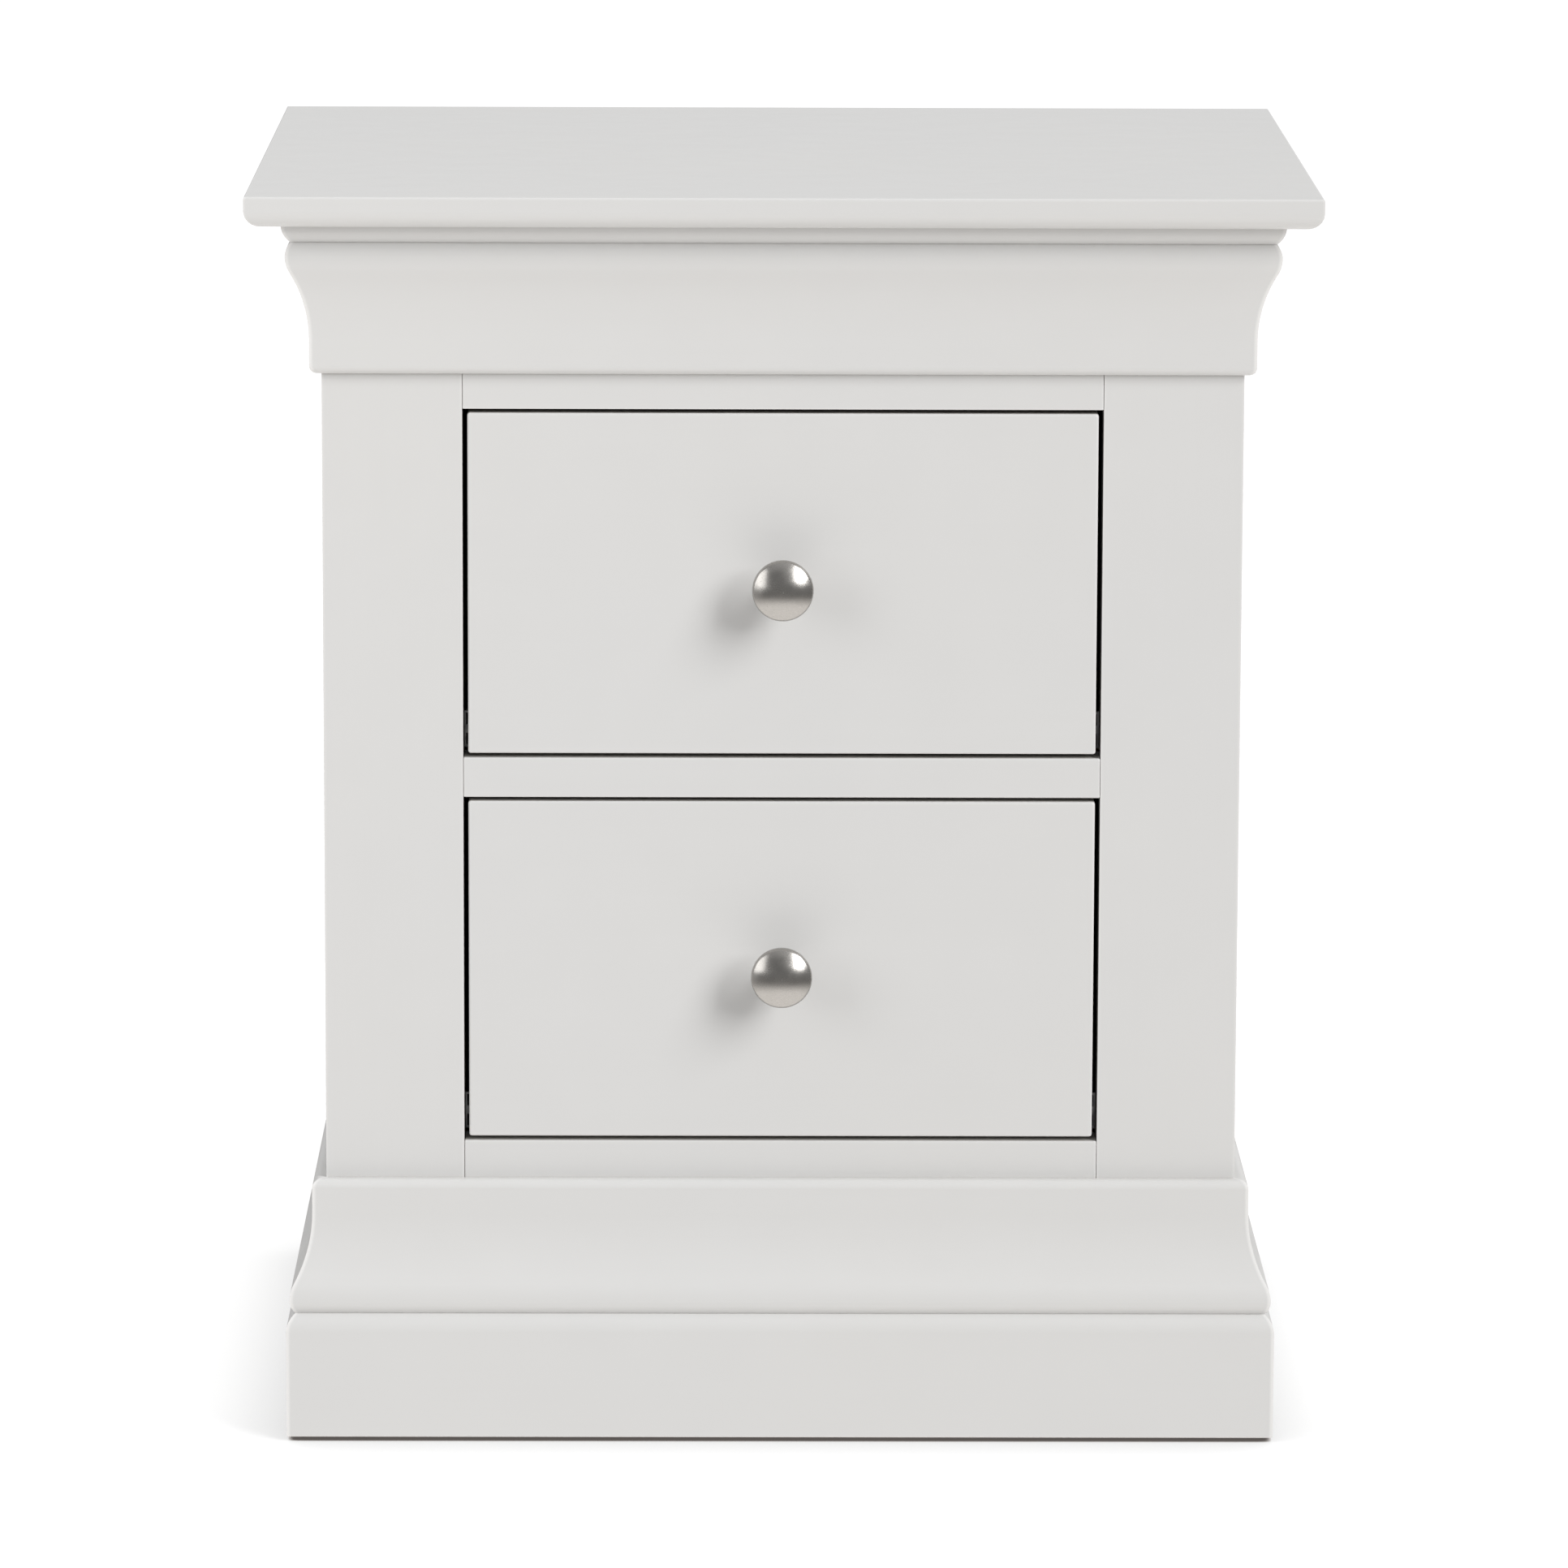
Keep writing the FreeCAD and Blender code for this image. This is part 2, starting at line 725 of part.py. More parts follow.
def screw_holes(body, side, level, start, mouth_side):
    """Countersunk holes through a member's web, to take its screws."""
    sign = SIDES[side]*mouth_side
    for index, place in enumerate(SLIDE_SCREW_PLACES):
        foot = (across_slide(side, start), "slide_front + " + place, slide_centre(level))
        hole(body, "screw_hole_%d" % index, foot, (sign, 0, 0), "slide_screw_shank + slide_screw_play",
             "slide_steel", "slide_screw_head + slide_screw_play")


def cabinet_slide(side, level):
    """The outer member: a channel with turned-in lips, on the packer."""
    points = [
        ("0", "-slide_half"), ("outer_lip_start + slide_steel", "-slide_half"),
        ("outer_lip_start + slide_steel", "outer_lip_drop - slide_half"),
        ("outer_lip_start", "outer_lip_drop - slide_half"),
        ("outer_lip_start", "slide_steel - slide_half"), ("slide_steel", "slide_steel - slide_half"),
        ("slide_steel", "slide_half - slide_steel"), ("outer_lip_start", "slide_half - slide_steel"),
        ("outer_lip_start", "slide_half - outer_lip_drop"),
        ("outer_lip_start + slide_steel", "slide_half - outer_lip_drop"),
        ("outer_lip_start + slide_steel", "slide_half"), ("0", "slide_half"),
    ]
    length = "slide_length + stop_play + stop_steel"
    body = channel("%s_%s_cabinet_slide" % (level, side), side, level, points, length)
    slide_stop(body, "cage_stop", side, level, "slide_steel", "stop_reach", "slide_front")
    slide_stop(body, "rear_stop", side, level, "slide_steel", "slide_width",
               "slide_front + slide_length + stop_play")
    screw_holes(body, side, level, "0", -1)


def drawer_slide(side, level):
    """The inner member: a smaller channel that faces the cabinet, on the drawer side."""
    web = "slide_width - slide_steel"
    inner = "inner_half - slide_steel"
    points = [
        ("slide_width", "-inner_half"), ("slide_width", "inner_half"), ("inner_start", "inner_half"),
        ("inner_start", inner), (web, inner), (web, "-(%s)" % inner),
        ("inner_start", "-(%s)" % inner), ("inner_start", "-inner_half"),
    ]
    body = channel("%s_%s_drawer_slide" % (level, side), side, level, points, "slide_length")
    slide_stop(body, "cage_stop", side, level, "cage_start + cage_steel/2", web,
               "slide_front + slide_length - stop_steel")
    screw_holes(body, side, level, "slide_width", 1)


def ball_cage(side, level):
    """The strip that keeps the balls apart: it runs between the two members."""
    web = "cage_start + cage_steel"
    inner = "cage_half - cage_steel"
    points = [
        ("cage_start", "-cage_half"), ("cage_end", "-cage_half"), ("cage_end", "-(%s)" % inner),
        (web, "-(%s)" % inner), (web, inner), ("cage_end", inner), ("cage_end", "cage_half"),
        ("cage_start", "cage_half"),
    ]
    body = channel("%s_%s_ball_cage" % (level, side), side, level, points, "cage_length", "cage_front")
    foot = (across_slide(side, "ball_across"), "cage_front + (cage_length - ball_pitch*(ball_rows - 1))/2",
            slide_centre(level) + " - slide_half")
    first = hole(body, "ball_hole", foot, (0, 0, 1), "ball_radius + ball_play", "slide_height")
    repeat(body, first, "Y_Axis", "ball_pitch", "ball_rows")


def balls(level):
    """Steel balls in both cages of one drawer, above and below the inner members."""
    radius = number("ball_radius")
    centre = number(slide_centre(level))
    rise = number("ball_level")
    front = number("cage_front + (cage_length - ball_pitch*(ball_rows - 1))/2")
    places = [FreeCAD.Vector(number(across_slide(side, "ball_across")),
                             front + row*number("ball_pitch"), centre + sign*rise)
              for side in SIDES for row in range(int(number("ball_rows"))) for sign in (-1, 1)]
    group(level + "_slide_balls", [Part.makeSphere(radius, place) for place in places])


# ---------------------------------------------------------------- drawers


def drawer_foot(level):
    """The height of a drawer front's lower edge."""
    return LEVELS[level] + " + foot_gap"


def box_foot(level):
    """The height of the drawer box's lower edge."""
    return drawer_foot(level) + " + box_lift"


def key_outline(side):
    """The sliding dovetail in plan, on the box side's own middle line: (across, back)."""
    middle = "(box_half + box_inner)/2"
    return [
        (towards(side, middle + " - key_neck/2"), "front_back"),
        (towards(side, middle + " - key_end/2"), "front_back - key_length"),
        (towards(side, middle + " + key_end/2"), "front_back - key_length"),
        (towards(side, middle + " + key_neck/2"), "front_back"),
    ]


def moved(corners, across, up):
    """The same outline, measured from another origin."""
    return [("%s - (%s)" % (corner[0], across), "%s - (%s)" % (corner[1], up)) + tuple(corner[2:])
            for corner in corners]


def drawer_front(level):
    """The inset front, grooved for the floor and keyed to the box sides."""
    foot = drawer_foot(level)
    body = board(level + "_drawer_front", (("-front_half", "front_half"), ("face_y", "front_back"),
                                           (foot, foot + " + front_height")))
    round_edges(body, "arris", lambda edge: edge.BoundBox.YMax < TOUCH)
    sockets = new_sketch(body, "XY_Plane", "sockets")
    for side in SIDES:
        draw(sockets, moved(key_outline(side), "-front_half", "face_y"))
    extrude(body, "Pocket", sockets, "box_lift + box_height", reverse=True)
    floor_half = "box_inner + groove_depth"
    groove_foot = box_foot(level) + " + floor_lift"
    box_feature(body, "Subtractive", "groove", (("-(%s)" % floor_half, floor_half),
                                                ("front_back - groove_depth", "front_back"),
                                                (groove_foot, groove_foot + " + floor_thickness")))
    middle = foot + " + front_height/2"
    hole(body, "knob_hole", ("0", "front_back", middle), (0, -1, 0), "front_hole_radius", "front_thickness")


def pin_outline(back):
    """A dovetail pin seen from the side: narrow at the drawer's back, at height zero."""
    front = "%s - box_thickness" % back
    return [(front, "-pin_wide/2"), (back, "-pin_narrow/2"), (back, "pin_narrow/2"), (front, "pin_wide/2")]


def drawer_side(side, level):
    """A box side: keyed into the front, dovetailed to the back and grooved for the floor."""
    foot = box_foot(level)
    across = span(side, "box_inner", "box_half")
    depth = ("front_back", "box_back_y")
    body = board("%s_drawer_side_%s" % (level, side), (across, depth, (foot, foot + " + box_height")))
    key = new_sketch(body, "XY_Plane", "key")
    draw(key, moved(key_outline(side), across[0], "front_back"))
    extrude(body, "Pad", key, "box_height")
    socket = new_sketch(body, "YZ_Plane", "socket")
    first_pin = "drawer_back_foot + pin_pitch/2"
    draw(socket, moved(pin_outline("box_back_y"), "front_back", "-(%s)" % first_pin))
    pocket = extrude(body, "Pocket", socket, "box_thickness", reverse=True)
    repeat(body, pocket, "Z_Axis", "pin_pitch", "pin_count")
    groove_foot = foot + " + floor_lift"
    box_feature(body, "Subtractive", "groove", (span(side, "box_inner", "box_inner + groove_depth"),
                                                ("front_back - key_length", "box_back_y"),
                                                (groove_foot, groove_foot + " + floor_thickness")))


def drawer_back(level):
    """The box back: it stands on the floor, with a row of pins at each end."""
    foot = box_foot(level) + " + drawer_back_foot"
    body = board(level + "_drawer_back", (("-box_inner", "box_inner"),
                                          ("box_back_y - box_thickness", "box_back_y"),
                                          (foot, foot + " + box_height - drawer_back_foot")))
    pins = new_sketch(body, "YZ_Plane", "pins")
    draw(pins, moved(pin_outline("box_thickness"), "0", "-pin_pitch/2"))
    pad = body.newObject("PartDesign::Pad", body.Label + "_pins_pad")
    pad.Profile = pins
    pad.SideType = "Two sides"
    pad.setExpression("Length", cells("box_inner + box_half"))
    pad.setExpression("Length2", cells("box_thickness"))
    repeat(body, pad, "Z_Axis", "pin_pitch", "pin_count")


def drawer_floor(level):
    """A thin panel in the grooves, slid in from the back under the box back."""
    half = "box_inner + groove_depth - floor_play"
    foot = box_foot(level) + " + floor_lift"
    board(level + "_drawer_bottom", (("-(%s)" % half, half),
                                     ("front_back - groove_depth + floor_play", "box_back_y"),
                                     (foot, foot + " + floor_thickness")))


def knob(level):
    """A turned knob: a foot, a waist, a flare, and a low dome that rolls over a rounded rim."""
    body = new_body(level + "_knob", ("0", "face_y", drawer_foot(level) + " + front_height/2"))
    sketch = new_sketch(body, "YZ_Plane", "outline")
    rise = "knob_projection - knob_dome_foot"
    outline = [
        ("0", "knob_bore_radius"),
        ("0", "knob_foot_radius"),
        ("-knob_foot_height", "knob_foot_radius"),
        ("-knob_foot_height - knob_collar", "knob_neck_radius + knob_collar"),
        ("-knob_neck_height", "knob_neck_radius", -1, arc_radius("knob_flare_height - knob_neck_height",
                                                                "knob_radius - knob_neck_radius")),
        ("-knob_flare_height", "knob_radius"),
        ("-knob_rim_height", "knob_radius", 1, "knob_rim_round"),
        ("-knob_dome_foot", "knob_dome_radius", 1, arc_radius(rise, "knob_dome_radius")),
        ("-knob_projection", "0"),
        ("-knob_bore_depth", "0"),
        ("-knob_bore_depth", "knob_bore_radius"),
    ]
    draw(sketch, outline)
    revolve(body, sketch, "H_Axis")


def knob_screw(level):
    """A pan-head machine screw, from inside the drawer through the front into the knob."""
    head = number("knob_screw_head")
    height = number("knob_screw_head_height")
    shank = number("knob_screw_shank")
    length = number("front_thickness + knob_screw_reach")
    profile = [(0, 0), (head, 0), (head, height/2), (head - height/2, height), (0, height)]
    foot = FreeCAD.Vector(0, number("front_back"), number(drawer_foot(level) + " + front_height/2"))
    recess = cross_recess(head, number("recess_depth")*height, height)
    pan = turned(profile, (0, 0, 0), (0, 0, 1)).cut(recess)
    stem = Part.makeCylinder(shank, length, FreeCAD.Vector(), FreeCAD.Vector(0, 0, -1))
    screw = pan.fuse(stem).removeSplitter()
    rotation = FreeCAD.Rotation(FreeCAD.Vector(0, 0, 1), FreeCAD.Vector(0, 1, 0))
    screw.Placement = FreeCAD.Placement(foot, rotation)
    group(level + "_knob_screw", [screw])


def drawer(level):
    """Everything that slides out with one drawer, and the cages that follow it."""
    drawer_front(level)
    for side in SIDES:
        drawer_side(side, level)
        drawer_slide(side, level)
        ball_cage(side, level)
    drawer_back(level)
    drawer_floor(level)
    knob(level)
    knob_screw(level)
    balls(level)
    slide_screws(level + "_slide_screws", [level], "box_half + slide_steel", 1)


# ---------------------------------------------------------------- the whole piece


def build():
    """Make every sub-part."""
    fill_sheet()
    top_board()
    moulding_run("top_bead", "crown_head", "ovolo_drop", ovolo_section())
    moulding_run("crown", "crown_foot", "moulding_height", ogee_section("crown_lip"))
    base = turned_over(ogee_section("base_lip"), "moulding_height")
    moulding_run("base_moulding", "base_moulding_foot", "moulding_height", base)
    moulding_run("plinth", "glide_height", "plinth_height", plinth_section())
    front_frame()
    side_panels()
    inner_boards()
    corner_blocks()
    packers()
    glides()
    carcass_screws()
    for level in LEVELS:
        for side in SIDES:
            cabinet_slide(side, level)
        drawer(level)
    slide_screws("slide_screws", LEVELS, "packer_face - slide_steel", -1)
    doc.recompute()


def check():
    """Stop if anything in the document failed or any sub-part is not a sound solid."""
    for item in doc.Objects:
        if "Invalid" in item.State or "Error" in item.State:
            raise RuntimeError("%s did not build: %s" % (item.Label, item.State))
    for item in subparts:
        if item.Shape.isNull() or not item.Shape.isValid() or not item.Shape.Solids:
            raise RuntimeError("%s is not a sound solid" % item.Label)


def export():
    """Write each sub-part to a file of its own."""
    os.makedirs("parts", exist_ok=True)
    for item in subparts:
        item.Shape.exportStep("parts/%s.step" % item.Label)
    print("%d sub-parts written" % len(subparts))


build()
check()
export()
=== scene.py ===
import json
import math

import bpy
from mathutils import Matrix, Quaternion, Vector


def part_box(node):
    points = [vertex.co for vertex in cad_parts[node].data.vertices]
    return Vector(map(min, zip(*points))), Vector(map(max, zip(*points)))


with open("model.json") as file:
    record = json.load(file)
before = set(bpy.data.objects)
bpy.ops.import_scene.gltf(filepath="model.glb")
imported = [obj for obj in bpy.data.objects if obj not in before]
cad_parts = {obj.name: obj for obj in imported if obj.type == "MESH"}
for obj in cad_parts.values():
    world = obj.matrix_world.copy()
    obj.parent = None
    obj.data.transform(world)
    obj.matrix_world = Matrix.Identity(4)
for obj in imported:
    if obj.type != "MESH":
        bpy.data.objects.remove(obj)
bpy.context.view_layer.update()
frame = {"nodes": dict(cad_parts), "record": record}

# ---------------------------------------------------------------- camera
# The camera stands 3.8 m in front of the drawers, a little to the left and about a metre up, and
# looks slightly down through a long lens. Lens and sensor are in millimetres, angles in radians.
CAMERA_PLACE = Vector((-0.0317, -4.0026, 0.9974))
CAMERA_PITCH = 0.1793
CAMERA_YAW = 0.00852
CAMERA_ROLL = 0.0035
CAMERA_LENS = 197.7
CAMERA_SENSOR = 36


def make_camera():
    """The one camera, turned by its yaw, pitch and roll."""
    data = bpy.data.cameras.new("camera")
    data.lens = CAMERA_LENS
    data.sensor_width = CAMERA_SENSOR
    camera = bpy.data.objects.new("camera", data)
    bpy.context.scene.collection.objects.link(camera)
    forward = Vector((math.sin(CAMERA_YAW)*math.cos(CAMERA_PITCH),
                      math.cos(CAMERA_YAW)*math.cos(CAMERA_PITCH), -math.sin(CAMERA_PITCH)))
    level_right = forward.cross(Vector((0, 0, 1))).normalized()
    level_up = level_right.cross(forward)
    right = math.cos(CAMERA_ROLL)*level_right + math.sin(CAMERA_ROLL)*level_up
    up = math.cos(CAMERA_ROLL)*level_up - math.sin(CAMERA_ROLL)*level_right
    turn = Matrix((right, up, -forward)).transposed()
    camera.matrix_world = Matrix.Translation(CAMERA_PLACE) @ turn.to_4x4()
    bpy.context.scene.camera = camera


# ---------------------------------------------------------------- shader building blocks
AXES = "xyz"
MM = 0.001
MICRON = 0.000001
WHITE = (1.0, 1.0, 1.0)
BLACK = (0.0, 0.0, 0.0)

# The band that most of a noise's values are in.
MOST = (0.3, 0.7)


class Nodes:
    """A node tree under construction."""

    def __init__(self, tree):
        self.tree = tree

    def add(self, kind, **inputs):
        """A node with some of its sockets set or linked, their names in plain form."""
        node = self.tree.nodes.new(kind)
        for name, value in inputs.items():
            self.put(node, name.replace("_", " "), value)
        return node

    def put(self, node, name, value):
        """Set a socket, found by its name or its number, to a value, or link it to another one."""
        socket = node.inputs[name]
        if isinstance(value, bpy.types.NodeSocket):
            self.tree.links.new(value, socket)
        else:
            socket.default_value = value

    def split(self, vector):
        """The three parts of a vector."""
        node = self.add("ShaderNodeSeparateXYZ", Vector=vector)
        return [node.outputs[name.upper()] for name in AXES]

    def spread(self, value, low, high, start=0.0, end=1.0):
        """A value from start to end turned into one from low to high, and held there."""
        node = self.add("ShaderNodeMapRange", Value=value)
        for name, limit in zip(("From Min", "From Max", "To Min", "To Max"), (start, end, low, high)):
            node.inputs[name].default_value = limit
        return node.outputs["Result"]

    def fade(self, value, amount, band):
        """Nothing where a value is below a band, rising to an amount above it."""
        return self.spread(value, 0.0, amount, *band)

    def math(self, operation, first, second=0.0):
        """One sum on two values."""
        node = self.tree.nodes.new("ShaderNodeMath")
        node.operation = operation
        self.put(node, 0, first)
        self.put(node, 1, second)
        return node.outputs[0]

    def mix(self, factor, first, second):
        """Two colours mixed by a factor."""
        node = self.tree.nodes.new("ShaderNodeMix")
        node.data_type = "RGBA"
        self.put(node, 0, factor)
        for place, colour in ((6, first), (7, second)):
            self.put(node, place, (*colour, 1) if isinstance(colour, tuple) else colour)
        return node.outputs[2]


class Surface(Nodes):
    """A procedural material, laid on the piece's own space in metres. It knows the axis that the
    piece's grain follows and the axis that the piece is thinnest along."""

    def __init__(self, name, grain="x", thin="z"):
        self.grain = grain
        self.thin = thin
        self.material = bpy.data.materials.new(name)
        self.material.use_nodes = True
        super().__init__(self.material.node_tree)
        self.shader = self.tree.nodes["Principled BSDF"]
        self.place = self.add("ShaderNodeTexCoord").outputs["Object"]
        self.height = None

    def stretched(self, scale, offset=(0, 0, 0)):
        """The piece's space, scaled by a different number of cells per metre along each axis."""
        mapping = self.add("ShaderNodeMapping", Vector=self.place, Scale=scale, Location=offset)
        return mapping.outputs["Vector"]

    def noise(self, scale, offset=(0, 0, 0), detail=3.0, roughness=0.55):
        """Soft random values from 0 to 1, in so many cells per metre along each axis."""
        node = self.add("ShaderNodeTexNoise", Vector=self.stretched(scale, offset), Scale=1.0,
                        Detail=detail, Roughness=roughness)
        return node.outputs["Fac"]

    def closeness(self, reach, samples, inside=False):
        """From 1 in the open down to 0 where other faces, or the piece's own, are within reach."""
        node = self.add("ShaderNodeAmbientOcclusion", Distance=reach)
        node.samples = samples
        node.inside = inside
        return node.outputs["AO"]

    def tucked_away(self, reach, samples, amount, band, inside=False):
        """An amount where the surface is closed in, fading to nothing where it is open."""
        return self.spread(self.closeness(reach, samples, inside), amount, 0.0, *band)

    def lengthwise(self, long, short):
        """Cells per metre that run long along the grain and short across it."""
        return tuple(long if name == self.grain else short for name in AXES)

    def relief(self, value, depth):
        """Raise the surface by a depth in metres where a value is 1, on top of what is there."""
        step = self.math("MULTIPLY", value, depth)
        self.height = step if self.height is None else self.math("ADD", self.height, step)

    def finish(self, **inputs):
        """Set sockets of the shader itself, and give it the relief."""
        for name, value in inputs.items():
            self.put(self.shader, name.replace("_", " "), value)
        if self.height is not None:
            bump = self.add("ShaderNodeBump", Height=self.height, Distance=1.0, Strength=1.0)
            self.put(self.shader, "Normal", bump.outputs["Normal"])
        return self.material


def even(cells):
    """The same number of cells per metre along every axis."""
    return (cells, cells, cells)


# ---------------------------------------------------------------- stage and light
# The place that both lights face, and their power in watts.
LIGHT_TARGET = Vector((0, -0.1, 0.3))
KEY_POWER = 7600
FILL_POWER = 9.6

# The studio's own brightness by direction: a strength, and the band of one part of the direction,
# from -1 to 1, over which it comes in or dies away.
SKY_FRONT = 0.25
SKY_TOP = 0.42
TOP_BAND = (0.60, 0.90)
SKY_BEHIND = 0.44
BEHIND_BAND = (-0.2, 0.4)
HORIZON_BAND = (-0.1, 0.1)
SKY_LEFT = 0.35
LEFT_BAND = (-0.95, -0.75)
BOUNCE = 1.15
BOUNCE_BAND = (-0.62, -0.33)
BOUNCE_TINT = (1.0, 0.975, 0.95)
TINT_BAND = (-0.3, 0.0)

# The floor: how much it reflects and glows, and the painted shade and painted contact shadow that
# darken it close to the piece and under it.
FLOOR_REACH = 30
FLOOR_PAPER = (0.30, 0.30, 0.30)
FLOOR_GLOW = 0.80
SHADE_REACH = 0.05
SHADE_SAMPLES = 16
SHADE_DEPTH = 0.76
SHADE_BAND = (0.50, 0.97)
CONTACT_SHADOW_DEPTH = 0.12
CONTACT_SHADOW_BAND = (0.20, 0.50)
CONTACT_SHADOW_TINT = (1.0, 0.84, 0.76)
TOOTH_CELLS = 300
TOOTH_DEPTH = 20*MICRON


def area_light(name, azimuth, elevation, distance, spans, power, tilt):
    """A soft box that faces the piece from an azimuth to the right of the front and an elevation,
    in degrees, spans so many degrees across and up, and is tilted about its own middle."""
    data = bpy.data.lights.new(name, "AREA")
    data.shape = "RECTANGLE"
    data.size, data.size_y = (2*distance*math.tan(math.radians(span)/2) for span in spans)
    data.energy = power
    light = bpy.data.objects.new(name, data)
    bpy.context.scene.collection.objects.link(light)
    turn = math.radians(azimuth)
    rise = math.radians(elevation)
    away = Vector((math.sin(turn)*math.cos(rise), -math.cos(turn)*math.cos(rise), math.sin(rise)))
    light.location = LIGHT_TARGET + distance*away
    level = away.to_track_quat("Z", "Y")
    light.rotation_mode = "QUATERNION"
    light.rotation_quaternion = level @ Quaternion((0, 0, 1), math.radians(tilt))
    light.visible_camera = False


def make_lights():
    """A large, far key light at the right and a near fill at the left."""
    area_light("key", azimuth=48, elevation=29, distance=30, spans=(20, 34),
               power=KEY_POWER, tilt=-20)
    area_light("fill", azimuth=-55, elevation=20, distance=2, spans=(26, 38),
               power=FILL_POWER, tilt=12)


def floor_paper():
    """Pale paper that glows a little, with a painted warm dark line of contact shadow where the piece
    stands on it and a soft painted shade round that."""
    surface = Surface("studio_paper")
    nearness = surface.closeness(SHADE_REACH, SHADE_SAMPLES)
    # Painted contact shadow and painted shade: the paper's colour and glow darken wherever the piece
    # is near.
    contact_shadow = surface.spread(nearness, CONTACT_SHADOW_DEPTH, 1.0, *CONTACT_SHADOW_BAND)
    painted_floor_shade = surface.math("MULTIPLY", contact_shadow, surface.spread(nearness, SHADE_DEPTH, 1.0, *SHADE_BAND))
    paper = surface.mix(painted_floor_shade, BLACK, FLOOR_PAPER)
    surface.relief(surface.noise(even(TOOTH_CELLS), detail=2.0), TOOTH_DEPTH)
    return surface.finish(Base_Color=paper, Roughness=0.9, Specular_IOR_Level=0.1,
                          Emission_Color=surface.mix(contact_shadow, CONTACT_SHADOW_TINT, WHITE),
                          Emission_Strength=surface.math("MULTIPLY", painted_floor_shade, FLOOR_GLOW))


def make_stage():
    """A wide, pale studio floor that reaches past every edge of the picture. It sends no light
    back: what a floor sends up comes from the lower half of the studio instead."""
    mesh = bpy.data.meshes.new("studio_floor")
    corners = [(x*FLOOR_REACH, y*FLOOR_REACH, 0) for x, y in ((-1, -1), (1, -1), (1, 1), (-1, 1))]
    mesh.from_pydata(corners, [], [range(len(corners))])
    mesh.materials.append(floor_paper())
    floor = bpy.data.objects.new("studio_floor", mesh)
    bpy.context.scene.collection.objects.link(floor)
    floor.visible_diffuse = False
    floor.visible_glossy = False
    floor.visible_shadow = False


def make_world():
    """The studio round the piece: dim in front where the camera stands, brighter above, behind and
    far to the left, and below, the warm light that a pale floor sends back up."""
    world = bpy.data.worlds.new("studio")
    bpy.context.scene.world = world
    world.use_nodes = True
    sky = Nodes(world.node_tree)
    across, back, up = sky.split(sky.add("ShaderNodeTexCoord").outputs["Generated"])
    top = sky.fade(up, SKY_TOP, TOP_BAND)
    behind = sky.math("MULTIPLY", sky.fade(back, SKY_BEHIND, BEHIND_BAND),
                      sky.fade(up, 1.0, HORIZON_BAND))
    left = sky.spread(across, SKY_LEFT, 0.0, *LEFT_BAND)
    bounce = sky.spread(up, BOUNCE, 0.0, *BOUNCE_BAND)
    strength = SKY_FRONT
    for share in (top, behind, left, bounce):
        strength = sky.math("ADD", share, strength)
    background = world.node_tree.nodes["Background"]
    sky.put(background, "Color", sky.mix(sky.spread(up, 1.0, 0.0, *TINT_BAND), WHITE, BOUNCE_TINT))
    sky.put(background, "Strength", strength)


# ---------------------------------------------------------------- paint
PAINT = (0.643, 0.641, 0.635)
PAINT_WARM = (0.648, 0.644, 0.634)
# A darker, warmer tone, for a faint trace of the grain and for painted shade in the hollows.
PAINT_GRAIN_AND_SHADE = (0.480, 0.455, 0.415)
PAINT_SEAM = (0.200, 0.185, 0.165)
# A painted highlight: a lighter tone laid along the arrises.
PAINT_EDGE_HIGHLIGHT = (0.820, 0.812, 0.800)


def painted_wood(surface):
    """Satin paint, sprayed over sanded board: fine orange peel, the faintest trace of the grain,
    painted shade in the hollows, dark lines in the joints, and a painted highlight along the arrises."""
    cloud = surface.noise(even(4), detail=2.0)
    tone = surface.mix(surface.fade(cloud, amount=1.0, band=(0.35, 0.65)), PAINT, PAINT_WARM)
    lines = surface.noise(surface.lengthwise(long=6, short=380), roughness=0.6)
    tone = surface.mix(surface.fade(lines, amount=0.012, band=(0.40, 0.75)), tone, PAINT_GRAIN_AND_SHADE)
    # Painted shade: the paint darkens toward a warm tone where the surface is closed in, as under the
    # top's overhang.
    painted_hollow_shade = surface.tucked_away(reach=10*MM, samples=4, amount=0.62, band=(0.10, 0.52))
    tone = surface.mix(painted_hollow_shade, tone, PAINT_GRAIN_AND_SHADE)
    joint = surface.tucked_away(reach=1.6*MM, samples=3, amount=0.50, band=(0.25, 0.55))
    tone = surface.mix(joint, tone, PAINT_SEAM)
    # Painted highlight: the arrises are lightened, as where light catches an eased edge.
    painted_edge_highlight = surface.tucked_away(reach=1.4*MM, samples=4, amount=0.70, band=(0.40, 0.85), inside=True)
    tone = surface.mix(painted_edge_highlight, tone, PAINT_EDGE_HIGHLIGHT)
    gloss = surface.noise(even(35), detail=2.0)
    peel = surface.noise(even(420), detail=1.0)
    waves = surface.noise(even(14), detail=1.0)
    surface.relief(lines, 1.5*MICRON)
    surface.relief(peel, 5*MICRON)
    surface.relief(waves, 30*MICRON)
    return surface.finish(Base_Color=tone, Roughness=surface.spread(gloss, 0.36, 0.48, *MOST),
                          Specular_IOR_Level=0.42, Coat_Weight=0.08, Coat_Roughness=0.30)


# ---------------------------------------------------------------- bare wood
# The pale and the dark tone of each wood, and of the plies at a plywood edge.
BEECH = ((0.62, 0.44, 0.26), (0.45, 0.28, 0.145))
PINE = ((0.66, 0.48, 0.26), (0.46, 0.27, 0.10))
BIRCH = ((0.66, 0.50, 0.32), (0.50, 0.33, 0.18))
PLY_EDGE = ((0.60, 0.42, 0.24), (0.34, 0.20, 0.10))

# How far the growth lines lean, how bright a pore is next to the dark tone, and how much rougher
# the fibres get than the sheen between them.
RING_LEAN = 0.6
PORE_SHADE = 0.45
FIBRE_ROUGHER = 0.14

# The thickness of two plies, the number of lines in the figure, and how squarely a plywood face
# looks along the thin axis, as against an edge.
PLY_PAIR = 2.4*MM
PLY_FIGURE = 9.0
FACE_TURN = 0.6


